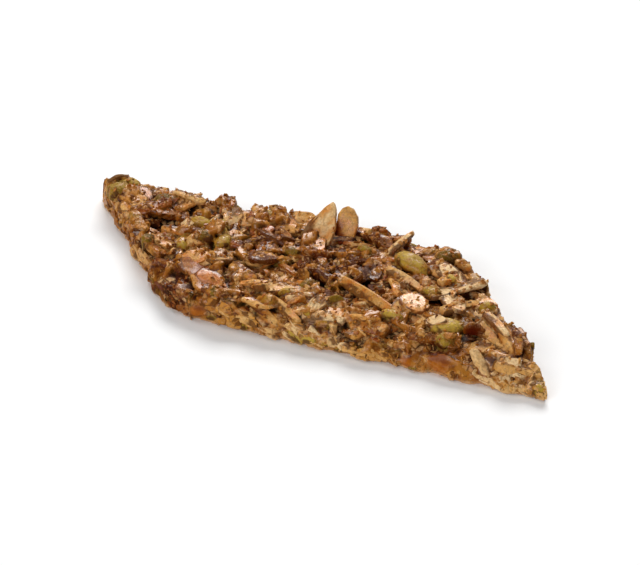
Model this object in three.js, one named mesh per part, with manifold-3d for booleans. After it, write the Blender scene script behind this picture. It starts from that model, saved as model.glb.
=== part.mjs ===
// A diamond-cut piece of almond and pistachio brittle: a slab of set caramel crowded with sliced and
// slivered almonds, pistachios and chopped bits. It lies flat on the face that was poured on the table.
// Millimetres, +Z up, X along the long edges. Places on the slab are counted from the middle of its
// diamond; the finished solid is moved so that the origin is under the middle of its bounding box.
import * as THREE from "three";
import { mergeVertices } from "three/addons/utils/BufferGeometryUtils.js";
import Module from "manifold-3d";

const wasm = await Module();
wasm.setup();

// Driving dimensions of the slab.
const longEdge = 110;
const shortEdge = 69;
const acuteCorner = THREE.MathUtils.degToRad(52);
const caramelHeight = 6.3; // from the flat underside to the caramel between the nuts
const caramelRelief = 0.55; // how far that surface rises and dips
const edgeWander = 0.9; // how far the cut edges stray from a straight line
const wallRelief = 0.6; // crags on the cut faces
const rimDrop = 1.5; // how far the caramel sinks where the knife went through
const rimWidth = 3; // how far in from the cut it starts to
const rimKept = 1.8; // no scattered nut has its middle nearer to the cut than this
const trimMargin = 0.9; // how far a cut nut may stand out of the cut face

// How far each corner is worn back, as a share of the way to the middle: named by u and v signs.
const cornerWear = { backLeft: 0.035, frontLeft: 0.085, frontRight: 0.0, backRight: 0.07 };

// Mesh fineness.
const gridAlong = 28;
const gridAcross = 12;
const wallLevels = [0.78, 0.36, 0]; // shares of the local height, from the rim down to the table
const wallSwell = [0.35, 0.55, 0]; // how far the cut face bulges at each of them
const snap = 0.01; // corners are rounded to this, so that none lie closer than it

// Hollows between the nuts: middle, radius and depth.
const hollows = [
  { x: -47, y: 8.5, radius: 4.2, depth: 4.2 },
  { x: 4, y: -7.6, radius: 2.8, depth: 3.6 },
  { x: 14.5, y: 2, radius: 3.0, depth: 2.6 },
  { x: -57, y: 20, radius: 2.3, depth: 2.8 },
  { x: 38, y: 1.5, radius: 2.4, depth: 2.6 },
  { x: 49, y: -8, radius: 2.6, depth: 2.6 },
  { x: -18, y: -6, radius: 2.6, depth: 2.4 },
];

// What the right-hand cut broke out of line: where along the edge (v), how far out, how wide in v.
const edgeBreaks = [
  { v: -0.38, out: 2.6, spread: 0.2 },
  { v: -0.16, out: -2.6, spread: 0.08 },
  { v: 0.55, out: 1.9, spread: 0.25 },
];

// Nuts by kind: how many lie along and across the slab, the smallest and largest sizes, the most that
// one tips, how far its middle lies above the caramel, and how far it turns from the long edge.
const kinds = {
  slice: {
    columns: 8, rows: 3, length: [9.5, 14.5], width: [6.5, 9.5], thick: [1.5, 2.1],
    tip: 20, lift: [0.1, 1.3], turn: 180,
  },
  sliver: {
    columns: 10, rows: 5, length: [9.5, 16], width: [2.7, 3.9], thick: [2.2, 3.1],
    tip: 13, lift: [0.3, 1.6], turn: 75,
  },
  pistachio: {
    columns: 7, rows: 3, length: [6.5, 10], width: [4.8, 6.4], thick: [4.2, 5.6],
    tip: 16, lift: [0.2, 1.3], turn: 180,
  },
  chip: {
    columns: 8, rows: 4, length: [3.6, 6.6], width: [3, 4.8], thick: [2.6, 4],
    tip: 25, lift: [0.6, 1.8], turn: 180,
  },
};
const rimNuts = { count: 26, length: [6, 13], width: [2.6, 5.2], thick: [1.8, 2.8], low: 1.6, high: 5.4 };

// Nuts that stand out from the rest. Angles in degrees: turn about Z, pitch nose down, roll sideways.
const standouts = [
  { kind: "flake", x: -3.4, y: 19.4, z: 11.4, length: 13.5, width: 8, thick: 1.5, turn: 94, pitch: -40, roll: -18 },
  { kind: "flake", x: 3.6, y: 21, z: 11, length: 10.5, width: 7, thick: 1.5, turn: 115, pitch: -54, roll: -10 },
  { kind: "pistachio", x: 24.5, y: 13, z: 8.2, length: 12, width: 6.6, thick: 5.4, turn: -24, pitch: 6, roll: 0 },
  { kind: "sliver", x: 18.3, y: 20, z: 9.6, length: 13, width: 2.2, thick: 1.6, turn: 70, pitch: -10, roll: 0 },
  { kind: "sliver", x: 25, y: 4, z: 8.4, length: 13.5, width: 3, thick: 2.4, turn: -26, pitch: 3, roll: 20 },
  { kind: "sliver", x: 19.5, y: -9.5, z: 8.6, length: 22, width: 3.6, thick: 2.8, turn: -26, pitch: 4, roll: 35 },
  { kind: "pistachio", x: 43.5, y: -14.5, z: 7.6, length: 9.4, width: 7.2, thick: 5.6, turn: 20, pitch: 0, roll: 0 },
  { kind: "chip", x: 50.8, y: -14, z: 7.8, length: 6.6, width: 5, thick: 6.6, turn: 12, pitch: 20, roll: 0 },
  { kind: "slice", x: 57.5, y: -12, z: 7.6, length: 15, width: 8, thick: 1.8, turn: -30, pitch: 8, roll: 12 },
  { kind: "pistachio", x: -66.5, y: 19, z: 7.6, length: 7.4, width: 5.4, thick: 4.6, turn: 40, pitch: 0, roll: 0 },
  { kind: "slice", x: -70, y: 21.5, z: 6.6, length: 13, width: 8, thick: 1.4, turn: -128, pitch: 4, roll: 66 },
  { kind: "pistachio", x: -38.5, y: 11, z: 7.4, length: 6.6, width: 4.6, thick: 4, turn: 10, pitch: 0, roll: 12 },
  { kind: "pistachio", x: -32.5, y: 11.5, z: 7.6, length: 6.2, width: 4.4, thick: 4, turn: 95, pitch: 0, roll: 0 },
  { kind: "pistachio", x: -29, y: 4, z: 7.5, length: 7, width: 4.2, thick: 3.8, turn: 80, pitch: 0, roll: 0 },
  { kind: "slice", x: -30, y: -14, z: 7.4, length: 15, width: 9, thick: 1.5, turn: -38, pitch: 6, roll: -14 },
  { kind: "sliver", x: -1, y: -22.6, z: 7, length: 13, width: 2.8, thick: 2.2, turn: -34, pitch: 6, roll: 15 },
  { kind: "sliver", x: -7, y: -24.4, z: 6, length: 12, width: 2.8, thick: 2.2, turn: -28, pitch: 10, roll: 15 },
  { kind: "slice", x: 45, y: -25.6, z: 4, length: 15, width: 6.4, thick: 2.2, turn: 0, pitch: 0, roll: 74 },
  { kind: "sliver", x: 57, y: -24.2, z: 4.4, length: 11, width: 3.2, thick: 2.4, turn: -32, pitch: 38, roll: 0 },
];
const standoutRoom = 4.2; // a scattered nut keeps this far from the middle of one that stands out

// The same pseudo-random numbers every time (a Lehmer generator).
function makeRandom(seed) {
  let state = seed;
  return () => {
    state = (state * 16807) % 2147483647;
    return state / 2147483647;
  };
}

const mix = ([low, high], share) => low + (high - low) * share;
const bell = (distance, spread) => Math.exp(-((distance / spread) ** 2));

// A gentle uneven surface between about -1 and 1, with bumps about one wavelength apart.
function ripple(x, y, wavelength, phase) {
  const k = (2 * Math.PI) / wavelength;
  const bentX = k * x + 1.3 * Math.sin(0.71 * k * y + phase);
  const bentY = k * y + 1.1 * Math.sin(0.83 * k * x + 2 * phase);
  return 0.6 * Math.sin(bentX) * Math.cos(bentY) + 0.4 * Math.sin(0.57 * bentY - 0.9 * bentX + phase);
}

// The slab's own grid: u from -1 to 1 along the long edge, v from -1 to 1 from the front to the back.
function slabPoint(u, v) {
  const wear = (u < 0 ? (v < 0 ? cornerWear.frontLeft : cornerWear.backLeft)
    : (v < 0 ? cornerWear.frontRight : cornerWear.backRight));
  const pull = 1 - wear * (u * v) ** 8;
  const x = pull * (u * longEdge - v * shortEdge * Math.cos(acuteCorner)) / 2;
  const y = pull * v * shortEdge * Math.sin(acuteCorner) / 2;
  const nearRight = Math.max(0, u) ** 6;
  const broken = edgeBreaks.reduce((sum, b) => sum + b.out * bell(v - b.v, b.spread), 0) * nearRight;
  return new THREE.Vector2(
    x + edgeWander * ripple(x, y, 17, 0.4) + broken * Math.sin(acuteCorner),
    y + edgeWander * ripple(x, y, 13, 2.1) + broken * Math.cos(acuteCorner),
  );
}

// How far in from the nearest cut a point lies.
const fromRim = (u, v) => (Math.sin(acuteCorner) / 2)
  * Math.min((1 - Math.abs(u)) * longEdge, (1 - Math.abs(v)) * shortEdge);

// Height of the caramel at a point of the slab.
function caramelTop(u, v) {
  const { x, y } = slabPoint(u, v);
  const dips = hollows.reduce((sum, h) => sum + h.depth * bell(Math.hypot(x - h.x, y - h.y), h.radius), 0);
  const sunk = rimDrop * Math.max(0, 1 - fromRim(u, v) / rimWidth) ** 2;
  return caramelHeight + caramelRelief * (ripple(x, y, 11, 1.2) + 0.6 * ripple(x, y, 5.5, 3.3)) - dips - sunk;
}

// Grid lines from -1 to 1, drawn together towards the ends.
const gridLine = (i, count) => {
  const t = -1 + (2 * i) / count;
  return 0.6 * t + 0.4 * Math.sin((Math.PI / 2) * t);
};

// The rim of the slab, counter-clockwise, as steps along and across the grid.
function rimOfGrid() {
  const rim = [];
  for (let i = 0; i < gridAlong; i++) rim.push([i, 0]);
  for (let j = 0; j < gridAcross; j++) rim.push([gridAlong, j]);
  for (let i = gridAlong; i > 0; i--) rim.push([i, gridAcross]);
  for (let j = gridAcross; j > 0; j--) rim.push([0, j]);
  return rim;
}

const gridPlace = ([i, j]) => [gridLine(i, gridAlong), gridLine(j, gridAcross)];

// The outward direction of the rim at its point i.
function rimNormal(rimPoints, i) {
  const count = rimPoints.length;
  const along = rimPoints[(i + 1) % count].clone().sub(rimPoints[(i - 1 + count) % count]).normalize();
  return new THREE.Vector2(along.y, -along.x);
}

// A solid from a triangle soup, its shared corners merged.
function solidFrom(geometry) {
  const bare = geometry.index ? geometry.toNonIndexed() : geometry.clone();
  bare.deleteAttribute("normal");
  bare.deleteAttribute("uv");
  const merged = mergeVertices(bare, 1e-4);
  return new wasm.Manifold(new wasm.Mesh({
    numProp: 3,
    vertProperties: merged.attributes.position.array,
    triVerts: new Uint32Array(merged.index.array),
  }));
}

function caramelSlab() {
  const corners = [];
  const faces = [];
  const add = (x, y, z) => corners.push(x, y, z) / 3 - 1;
  const gridIndex = new Map();
  for (let j = 0; j <= gridAcross; j++) {
    for (let i = 0; i <= gridAlong; i++) {
      const p = slabPoint(...gridPlace([i, j]));
      gridIndex.set(`${i},${j}`, add(p.x, p.y, caramelTop(...gridPlace([i, j]))));
    }
  }
  for (let j = 0; j < gridAcross; j++) {
    for (let i = 0; i < gridAlong; i++) {
      const [a, b, c, d] = [[i, j], [i + 1, j], [i + 1, j + 1], [i, j + 1]].map((k) => gridIndex.get(`${k}`));
      faces.push(a, b, c, a, c, d);
    }
  }
  const rim = rimOfGrid();
  const rimPoints = rim.map((step) => slabPoint(...gridPlace(step)));
  let above = rim.map((step) => gridIndex.get(`${step}`));
  wallLevels.forEach((level, depth) => {
    const row = rimPoints.map((p, i) => {
      const out = rimNormal(rimPoints, i);
      const swell = wallSwell[depth] + wallRelief * ripple(4 * i, 60 * level, 9, 0.8);
      return add(p.x + swell * out.x, p.y + swell * out.y, level * caramelTop(...gridPlace(rim[i])));
    });
    row.forEach((_, i) => {
      const next = (i + 1) % row.length;
      faces.push(above[i], row[i], row[next], above[i], row[next], above[next]);
    });
    above = row;
  });
  const footprint = above.map((n) => new THREE.Vector2(corners[3 * n], corners[3 * n + 1]));
  for (const [a, b, c] of THREE.ShapeUtils.triangulateShape(footprint, [])) {
    faces.push(above[a], above[c], above[b]);
  }
  const geometry = new THREE.BufferGeometry();
  geometry.setAttribute("position", new THREE.Float32BufferAttribute(corners, 3));
  geometry.setIndex(faces);
  return solidFrom(geometry);
}

// The space that nuts may fill: the cut faces a little further out, above the table.
function trimSpace() {
  const rimPoints = rimOfGrid().map((step) => slabPoint(...gridPlace(step)));
  const wider = rimPoints.map((p, i) => {
    const margin = trimMargin * (0.55 + 0.45 * ripple(3 * i, 0, 8, 1.9));
    return p.clone().addScaledVector(rimNormal(rimPoints, i), margin);
  });
  return solidFrom(new THREE.ExtrudeGeometry(new THREE.Shape(wider), { depth: 30, bevelEnabled: false }));
}

// Nuts of unit length, width and thickness, lying flat with their length along X.
function unitSlice() {
  const sides = 7;
  const outline = [];
  for (let i = 0; i < sides; i++) {
    const angle = (2 * Math.PI * i) / sides;
    const across = Math.sin(angle) * (1 - 0.3 * Math.cos(angle));
    outline.push(new THREE.Vector2(0.5 * Math.cos(angle), 0.5 * across));
  }
  return new THREE.ExtrudeGeometry(new THREE.Shape(outline), { depth: 1, bevelEnabled: false })
    .translate(0, 0, -0.5);
}

// A broken slice, wide at the foot and pointed at the +X end.
function unitFlake() {
  const outline = [[-0.5, -0.28], [-0.22, -0.48], [0.12, -0.34], [0.5, 0.02], [0.12, 0.36], [-0.2, 0.5], [-0.5, 0.3]];
  return new THREE.ExtrudeGeometry(
    new THREE.Shape(outline.map(([x, y]) => new THREE.Vector2(x, y))),
    { depth: 1, bevelEnabled: false },
  ).translate(0, 0, -0.5);
}

const unitNuts = {
  slice: unitSlice(),
  flake: unitFlake(),
  sliver: new THREE.CylinderGeometry(0.34, 0.52, 1, 4, 1).rotateX(Math.PI / 4).rotateZ(-Math.PI / 2),
  pistachio: new THREE.SphereGeometry(0.5, 6, 4).rotateZ(Math.PI / 2),
  chip: new THREE.IcosahedronGeometry(0.5, 0),
};

function nutSolid({ kind, x, y, z, length, width, thick, turn, pitch, roll }) {
  const toRad = THREE.MathUtils.degToRad;
  const placing = new THREE.Matrix4().compose(
    new THREE.Vector3(x, y, z),
    new THREE.Quaternion().setFromEuler(new THREE.Euler(toRad(roll), toRad(pitch), toRad(turn), "ZYX")),
    new THREE.Vector3(length, width, thick),
  );
  return solidFrom(unitNuts[kind].clone().applyMatrix4(placing));
}

// Nuts of one kind spread evenly over the slab, each knocked out of its place in the grid.
function scatterNuts(kind, seed) {
  const random = makeRandom(seed);
  const k = kinds[kind];
  const found = [];
  for (let row = 0; row < k.rows; row++) {
    for (let column = 0; column < k.columns; column++) {
      const draw = Array.from({ length: 9 }, random);
      const stagger = row % 2 ? 0.5 : 0;
      const u = -1 + (2 * (column + stagger + 0.9 * (draw[0] - 0.5) + 0.25)) / k.columns;
      const v = -1 + (2 * (row + 0.5 + 0.8 * (draw[1] - 0.5))) / k.rows;
      if (Math.abs(u) > 1 || Math.abs(v) > 1 || fromRim(u, v) < rimKept) continue;
      const { x, y } = slabPoint(u, v);
      if (standouts.some((s) => Math.hypot(s.x - x, s.y - y) < standoutRoom)) continue;
      if (hollows.some((h) => Math.hypot(h.x - x, h.y - y) < h.radius)) continue;
      found.push({
        kind, x, y,
        z: caramelTop(u, v) + mix(k.lift, draw[2]),
        length: mix(k.length, draw[3]),
        width: mix(k.width, draw[4]),
        thick: mix(k.thick, draw[5]),
        turn: k.turn * 2 * (draw[6] - 0.5) - 12,
        pitch: k.tip * 2 * (draw[7] - 0.5) * (k.length[0] / mix(k.length, draw[3])),
        roll: 1.5 * k.tip * 2 * (draw[8] - 0.5),
      });
    }
  }
  return found;
}

// Nuts that the cut faces show.
function rimScatter(seed) {
  const random = makeRandom(seed);
  const rim = rimOfGrid();
  const rimPoints = rim.map((step) => slabPoint(...gridPlace(step)));
  return Array.from({ length: rimNuts.count }, (_, n) => {
    const draw = Array.from({ length: 8 }, random);
    const i = Math.floor(((n + 0.8 * draw[0]) / rimNuts.count) * rim.length) % rim.length;
    const out = rimNormal(rimPoints, i);
    const deep = -1.6 * draw[1];
    return {
      kind: draw[2] < 0.55 ? "sliver" : "chip",
      x: rimPoints[i].x + deep * out.x,
      y: rimPoints[i].y + deep * out.y,
      z: mix([rimNuts.low, rimNuts.high], draw[3]),
      length: mix(rimNuts.length, draw[4]),
      width: mix(rimNuts.width, draw[5]),
      thick: mix(rimNuts.thick, draw[5]),
      turn: THREE.MathUtils.radToDeg(Math.atan2(out.x, -out.y)) + 50 * (draw[6] - 0.5),
      pitch: 44 * (draw[7] - 0.5),
      roll: 60 * (draw[1] - 0.5),
    };
  });
}

const largestPiece = (solid) => solid.decompose().reduce((a, b) => (b.volume() > a.volume() ? b : a));

// Slab and nuts fused into one solid; loose scraps and sealed hollows are dropped.
function brittleSolid() {
  const nuts = [
    ...standouts,
    ...scatterNuts("slice", 11),
    ...scatterNuts("sliver", 23),
    ...scatterNuts("pistachio", 37),
    ...scatterNuts("chip", 41),
    ...rimScatter(53),
  ];
  const fused = nuts.map(nutSolid).reduce((sum, nut) => sum.add(nut)).intersect(trimSpace()).add(caramelSlab());
  const rounded = geometryOf(largestPiece(fused));
  rounded.attributes.position.array.forEach((value, i, all) => { all[i] = Math.round(value / snap) * snap; });
  return largestPiece(solidFrom(rounded));
}

function geometryOf(solid) {
  const { vertProperties, triVerts } = solid.getMesh();
  const geometry = new THREE.BufferGeometry();
  geometry.setAttribute("position", new THREE.BufferAttribute(vertProperties, 3));
  geometry.setIndex(new THREE.BufferAttribute(triVerts, 1));
  geometry.computeVertexNormals();
  return geometry;
}

const geometry = geometryOf(brittleSolid());
geometry.computeBoundingBox();
const middle = geometry.boundingBox.getCenter(new THREE.Vector3());
geometry.translate(-middle.x, -middle.y, 0);

const brittle = new THREE.Mesh(
  geometry,
  new THREE.MeshStandardMaterial({ color: 0x9c6a38, roughness: 0.35, metalness: 0 }),
);
brittle.name = "nut_brittle";

const part = new THREE.Group();
part.add(brittle);
export default part;
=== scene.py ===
import math

import bmesh
import bpy
import numpy as np
from mathutils import Euler, Matrix, Vector, noise
from mathutils.bvhtree import BVHTree
from mathutils.kdtree import KDTree


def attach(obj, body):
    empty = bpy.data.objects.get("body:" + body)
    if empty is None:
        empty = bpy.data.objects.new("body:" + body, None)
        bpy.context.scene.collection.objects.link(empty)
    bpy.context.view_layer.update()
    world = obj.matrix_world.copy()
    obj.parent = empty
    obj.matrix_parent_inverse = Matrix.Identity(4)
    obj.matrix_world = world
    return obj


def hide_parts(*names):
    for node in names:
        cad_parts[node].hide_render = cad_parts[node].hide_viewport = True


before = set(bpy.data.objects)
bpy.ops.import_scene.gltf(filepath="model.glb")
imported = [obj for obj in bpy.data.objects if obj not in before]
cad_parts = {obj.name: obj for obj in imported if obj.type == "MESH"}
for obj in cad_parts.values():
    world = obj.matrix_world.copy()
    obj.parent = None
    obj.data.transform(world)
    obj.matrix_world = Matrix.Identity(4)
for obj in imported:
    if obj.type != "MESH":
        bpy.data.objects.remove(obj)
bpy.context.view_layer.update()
mm = 0.001  # shapes are worked out in millimetres and written in metres
noise.seed_set(2)  # the roughness is the same at every run

# the slab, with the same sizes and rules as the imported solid

slab = {
    "longEdge": 110,
    "shortEdge": 69,
    "acuteCorner": math.radians(52),
    "caramelHeight": 6.3,  # flat underside to the caramel between the nuts
    "caramelRelief": 0.55,
    "edgeWander": 0.9,
    "rimDrop": 1.5,  # the caramel sinks this much at the cuts
    "rimWidth": 3,
    "rimKept": 1.8,
    "trimMargin": 0.9,  # how far cut nuts stand out of the cut face
    "cutRise": 0.9,  # and how far above the caramel there, at most
    "tableGap": 0.02,
    "slump": 2.5,  # and the front edge slopes down this much more, from 8.5 mm in, right of the middle
    "slumpWidth": 8.5,
    "slumpFrom": (2, 14),  # where it begins along X, and over what length
    "slumpTo": (74, 8),
    "tip": (76, -27),  # the sharp corner, and how much lower the top is there
    "tipDrop": 3.2,
    "tipReach": 13,
    "tipNuts": (1.2, 5),  # how much lower the nuts are there, and how many degrees they are tipped
    "toOrigin": (-1.6, 0.015),  # from the middle of the diamond to the middle of the box
    "wear": {"backLeft": 0.035, "frontLeft": 0.085, "frontRight": 0.0, "backRight": 0.07},
    "breaks": [(-0.38, 2.6, 0.2), (-0.16, -2.6, 0.08), (0.55, 1.9, 0.25)],  # v, how far out, spread
    "hollows": [
        (-47, 8.5, 4.2, 4.2), (3.4, -6.6, 3.4, 3.8), (14.5, 2, 3.2, 2.9), (-57, 20, 2.3, 2.8),
        (38, 1.5, 2.4, 2.6), (49, -8, 2.6, 2.6), (-18, -6, 2.6, 2.4),
    ],  # x, y, radius, depth
}


def within(value, low=0, high=1):
    return max(low, min(high, value))


def ripple(x, y, wavelength, phase):
    k = 2 * math.pi / wavelength
    bentX = k * x + 1.3 * np.sin(0.71 * k * y + phase)
    bentY = k * y + 1.1 * np.sin(0.83 * k * x + 2 * phase)
    return 0.6 * np.sin(bentX) * np.cos(bentY) + 0.4 * np.sin(0.57 * bentY - 0.9 * bentX + phase)


def bell(distance, spread):
    return np.exp(-((distance / spread) ** 2))


def heaps(x, y, places):
    # soft round heaps laid over each other, each given by its x, y, spread and height
    return sum(height * bell(np.hypot(x - atX, y - atY), spread) for atX, atY, spread, height in places)


def heading(turn):
    return math.cos(math.radians(turn)), math.sin(math.radians(turn))


def slabPoint(u, v):
    # u runs from -1 to 1 along the long edge, v from the front edge to the back edge
    u, v = np.asarray(u, float), np.asarray(v, float)
    wear = slab["wear"]
    worn = np.where(
        u < 0,
        np.where(v < 0, wear["frontLeft"], wear["backLeft"]),
        np.where(v < 0, wear["frontRight"], wear["backRight"]),
    )
    pull = 1 - worn * (u * v) ** 8
    corner = slab["acuteCorner"]
    x = pull * (u * slab["longEdge"] - v * slab["shortEdge"] * math.cos(corner)) / 2
    y = pull * v * slab["shortEdge"] * math.sin(corner) / 2
    broken = sum(out * bell(v - at, spread) for at, out, spread in slab["breaks"])
    broken = broken * np.maximum(0, u) ** 6
    wander = slab["edgeWander"]
    return (
        x + wander * ripple(x, y, 17, 0.4) + broken * math.sin(corner),
        y + wander * ripple(x, y, 13, 2.1) + broken * math.cos(corner),
    )


def fromRim(u, v):
    along = (1 - np.abs(u)) * slab["longEdge"]
    across = (1 - np.abs(v)) * slab["shortEdge"]
    return math.sin(slab["acuteCorner"]) / 2 * np.minimum(along, across)


def slumpShare(u, v):
    # 1 at the front edge, right of the middle, and 0 where the top is level again
    x, _ = slabPoint(u, v)
    fromFront = (1 + v) / 2 * slab["shortEdge"] * math.sin(slab["acuteCorner"])
    (start, risesOver), (end, fallsOver) = slab["slumpFrom"], slab["slumpTo"]
    along = np.clip((x - start) / risesOver, 0, 1) * np.clip((end - x) / fallsOver, 0, 1)
    return along * np.clip(1 - fromFront / slab["slumpWidth"], 0, 1)


def caramelTop(u, v):
    x, y = slabPoint(u, v)
    dips = heaps(x, y, slab["hollows"])
    sunk = slab["rimDrop"] * np.maximum(0, 1 - fromRim(u, v) / slab["rimWidth"]) ** 2
    relief = slab["caramelRelief"] * (ripple(x, y, 11, 1.2) + 0.6 * ripple(x, y, 5.5, 3.3))
    fromTip = np.hypot(x - slab["tip"][0], y - slab["tip"][1])
    slope = slab["slump"] * slumpShare(u, v)
    slope = slope + slab["tipDrop"] * np.maximum(0, 1 - fromTip / slab["tipReach"])
    return slab["caramelHeight"] + relief - dips - sunk - slope


def gridLine(i, count):
    t = -1 + 2 * i / count
    return 0.6 * t + 0.4 * math.sin(math.pi / 2 * t)


def cutOutline(stepsAlong, stepsAcross):
    # the cut edge, counter-clockwise: its u and v, its points and its outward directions
    rim = [(gridLine(i, stepsAlong), -1) for i in range(stepsAlong)]
    rim += [(1, gridLine(j, stepsAcross)) for j in range(stepsAcross)]
    rim += [(gridLine(i, stepsAlong), 1) for i in range(stepsAlong, 0, -1)]
    rim += [(-1, gridLine(j, stepsAcross)) for j in range(stepsAcross, 0, -1)]
    places = np.array(rim, float)
    points = np.stack(slabPoint(places[:, 0], places[:, 1]), 1)
    along = np.roll(points, -1, 0) - np.roll(points, 1, 0)
    along /= np.linalg.norm(along, axis=1, keepdims=True)
    return places, points, np.stack([along[:, 1], -along[:, 0]], 1)


# where the nuts lie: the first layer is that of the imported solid

kinds = {
    "slice": dict(columns=8, rows=3, length=(9.5, 14.5), width=(6.5, 9.5), thick=(1.5, 2.1),
                  tip=20, lift=(0.1, 1.3), turn=180, seed=11),
    "sliver": dict(columns=10, rows=5, length=(9.5, 16), width=(2.7, 3.9), thick=(2.2, 3.1),
                   tip=13, lift=(0.3, 1.6), turn=75, seed=23),
    "pistachio": dict(columns=7, rows=3, length=(6.5, 10), width=(4.8, 6.4), thick=(4.2, 5.6),
                      tip=16, lift=(0.2, 1.3), turn=180, seed=37),
    "chip": dict(columns=8, rows=4, length=(3.6, 6.6), width=(3, 4.8), thick=(2.6, 4),
                 tip=25, lift=(0.6, 1.8), turn=180, seed=41),
}
rimNuts = dict(
    count=26, length=(6, 13), width=(2.6, 5.2), thick=(1.8, 2.8), heights=(1.6, 5.4), seed=53,
    inset=1.6, sliverShare=0.55, steps=(28, 12), spread=(50, 44, 60),
)

# nuts that stand out: kind, x, y, z, length, width, thickness, turn, pitch, roll, how dark (0 to 1)
standouts = [
    ("flake", -3.4, 19.4, 11.4, 13.5, 8, 1.5, 94, -40, -18, 0.0),
    ("flake", 1.6, 22.6, 11.6, 8.6, 6.6, 1.6, 100, -58, -10, 0.3),
    ("pistachio", 24.5, 13, 8.2, 12, 6.6, 5.4, -24, 6, 0, 0.3),
    ("sliver", 18.3, 20, 9.6, 13, 2.2, 1.6, 70, -10, 0, 0.1),
    ("sliver", 25, 4, 8.4, 13.5, 3, 2.4, -26, 3, 20, 0.3),
    ("sliver", 19.5, -9.5, 8.6, 22, 3.6, 2.8, -26, 4, 35, 0.45),
    ("pistachio", 43.5, -14.5, 7.6, 9.4, 7.2, 5.6, 20, 0, 0, 0.0),
    ("lump", 50.8, -14, 8.8, 6.8, 5.4, 9.2, 12, 20, 0, 1.0),
    ("slice", 57.5, -12, 7.6, 15, 8, 1.8, -30, 8, 12, 0.5),
    ("pistachio", -66.5, 19, 7.6, 7.4, 5.4, 4.6, 40, 0, 0, 0.2),
    ("slice", -70, 21.5, 6.6, 13, 8, 1.4, -128, 4, 66, 0.1),
    ("pistachio", -38.5, 11, 7.4, 6.6, 4.6, 4, 10, 0, 12, 0.1),
    ("pistachio", -32.5, 11.5, 7.6, 6.2, 4.4, 4, 95, 0, 0, 0.2),
    ("pistachio", -29, 4, 7.5, 7, 4.2, 3.8, 80, 0, 0, 0.1),
    ("slice", -30, -14, 7.4, 15, 9, 1.5, -38, 6, -14, 0.4),
    ("sliver", -1, -22.6, 7, 13, 2.8, 2.2, -34, 6, 15, 0.7),
    ("sliver", -7, -24.4, 6, 12, 2.8, 2.2, -28, 10, 15, 0.5),
    ("lump", 45, -25.6, 4, 15, 6.4, 2.2, 0, 0, 74, 0.6),
    ("sliver", 57, -24.2, 4.4, 11, 3.6, 2.6, 148, -38, 0, 0.4),
]
standoutRoom = 4.2
nutKeys = ("kind", "x", "y", "z", "length", "width", "thick", "turn", "pitch", "roll", "dark")


def nutOf(kind, place, size, tips=(0, 0, 0), dark=0.0, **more):
    return dict(zip(nutKeys, (kind, *place, *size, *tips, dark)), **more)


def lehmer(seed):
    state = seed
    while True:
        state = state * 16807 % 2147483647
        yield state / 2147483647


def between(limits, share):
    return limits[0] + (limits[1] - limits[0]) * share


def sizeFrom(k, shares):
    return [between(k[side], share) for side, share in zip(("length", "width", "thick"), shares)]


def plainPoint(u, v):
    return [float(c) for c in slabPoint(u, v)]


def isInHollow(x, y, share=1.0):
    return any(math.hypot(hx - x, hy - y) < share * r for hx, hy, r, _ in slab["hollows"])


def cutTurn(outward):
    # the turn, in degrees, that lays a nut along the cut
    return math.degrees(math.atan2(outward[0], -outward[1]))


def scatterNuts(kind):
    k = kinds[kind]
    draws = lehmer(k["seed"])
    for row in range(k["rows"]):
        for column in range(k["columns"]):
            draw = [next(draws) for _ in range(9)]
            stagger = 0.5 if row % 2 else 0
            u = -1 + 2 * (column + stagger + 0.9 * (draw[0] - 0.5) + 0.25) / k["columns"]
            v = -1 + 2 * (row + 0.5 + 0.8 * (draw[1] - 0.5)) / k["rows"]
            if abs(u) > 1 or abs(v) > 1 or fromRim(u, v) < slab["rimKept"]:
                continue
            x, y = plainPoint(u, v)
            if isInHollow(x, y) or any(math.hypot(s[1] - x, s[2] - y) < standoutRoom for s in standouts):
                continue
            place = (x, y, float(caramelTop(u, v)) + between(k["lift"], draw[2]))
            size = sizeFrom(k, draw[3:6])
            tips = (
                k["turn"] * 2 * (draw[6] - 0.5) - 12,
                k["tip"] * 2 * (draw[7] - 0.5) * k["length"][0] / size[0],
                1.5 * k["tip"] * 2 * (draw[8] - 0.5),
            )
            yield nutOf(kind, place, size, tips, draw[5])


def rimScatter():
    draws = lehmer(rimNuts["seed"])
    places, points, outward = cutOutline(*rimNuts["steps"])
    for n in range(rimNuts["count"]):
        draw = [next(draws) for _ in range(8)]
        i = int((n + 0.8 * draw[0]) / rimNuts["count"] * len(points)) % len(points)
        x, y = points[i] - rimNuts["inset"] * draw[1] * outward[i]
        z = min(between(rimNuts["heights"], draw[3]), float(caramelTop(*places[i])))
        size = sizeFrom(rimNuts, (draw[4], draw[5], draw[5]))
        tips = [most * (draw[at] - 0.5) for most, at in zip(rimNuts["spread"], (6, 7, 1))]
        tips[0] += cutTurn(outward[i])
        kind = "sliver" if draw[2] < rimNuts["sliverShare"] else "chip"
        yield nutOf(kind, (x, y, z), size, tips, draw[6])


def firstLayer():
    nuts = [dict(zip(nutKeys, s), variant=n == 1) for n, s in enumerate(standouts)]
    for kind in kinds:
        nuts += scatterNuts(kind)
    for nut in nuts:
        if math.dist((nut["x"], nut["y"]), slab["tip"]) < slab["tipReach"]:
            nut["z"] -= slab["tipNuts"][0]
            nut["pitch"] += slab["tipNuts"][1]
    return [*nuts, *rimScatter()]


# shapes of each kind of nut, made at their usual size in millimetres

def roughen(bm, amount, wavelength, seed):
    offset = Vector((seed * 7.3, seed * 3.1, seed * 5.7))
    for vert in bm.verts:
        vert.co += amount * noise.noise_vector(vert.co / wavelength + offset)


def splitUp(bm):
    # these two methods give the same triangles at every run
    bmesh.ops.triangulate(bm, faces=bm.faces, quad_method="FIXED", ngon_method="EAR_CLIP")


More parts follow.
